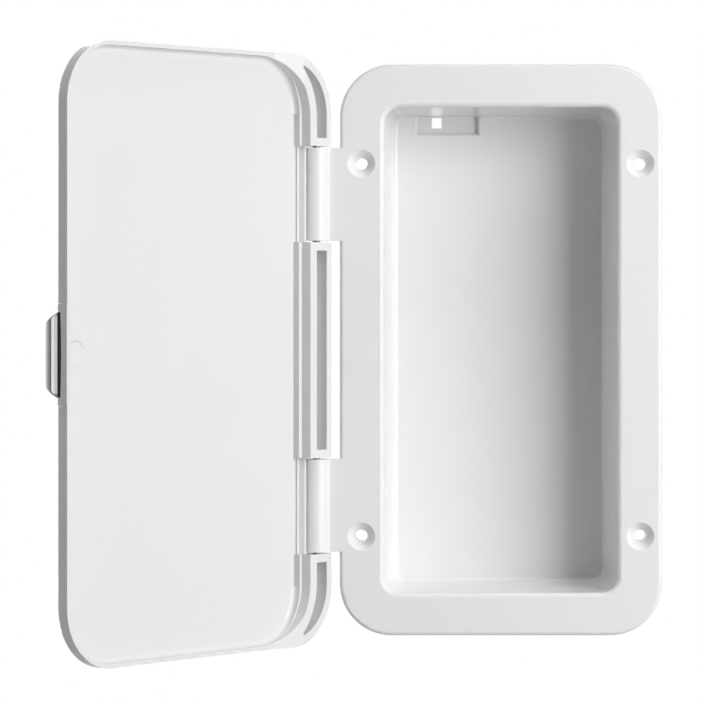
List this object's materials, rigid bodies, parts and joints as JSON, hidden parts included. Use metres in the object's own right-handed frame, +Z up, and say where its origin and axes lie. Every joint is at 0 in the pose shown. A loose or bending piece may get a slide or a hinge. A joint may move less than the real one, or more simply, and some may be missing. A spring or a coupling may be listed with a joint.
{
  "type": "storage box",
  "caption": "White recessed storage box: flanged tub that is screwed into a panel, with a side-hinged lid and a chromed pull latch.",
  "frame": {"origin": "centre of the flange's seating plane, midway between the four screw holes", "axes": "+X to the right as the box is looked at, +Y into the panel along the screws, +Z up along the flange's long side"},
  "size_m": [0.2385, 0.1549, 0.2382],
  "materials": {
    "box_white": "glossy white moulding",
    "lid_white": "glossy white moulding",
    "latch_white": "satin white moulding",
    "pin_steel": "plain drawn rod",
    "spring_steel": "rolled strip",
    "cap_chrome": "satin chrome plate",
    "pad_rubber": "matt black"
  },
  "bodies": {
    "box": {"box_body": "box_white"},
    "lid": {"lid_panel": "lid_white", "upper_hinge_pin": "pin_steel", "lower_hinge_pin": "pin_steel", "latch_pin": "pin_steel", "latch_spring": "spring_steel"},
    "latch": {"latch_lever": "latch_white", "latch_cap": "cap_chrome", "latch_pad": "pad_rubber"}
  },
  "joints": [
    {"name": "lid_hinge", "type": "hinge", "parent": "box", "child": "lid", "pos_m": [-0.07475, -0.0135, 0], "axis": [0, 0, 1], "range_deg": [0, 128.5]},
    {"name": "latch_pivot", "type": "hinge", "parent": "lid", "child": "latch", "pos_m": [-0.16675, -0.11678, 0], "axis": [0, 0, -1], "range_deg": [0, 8], "stiffness_Nm_per_rad": 0.15, "deforming": ["latch_spring"]}
  ]
}
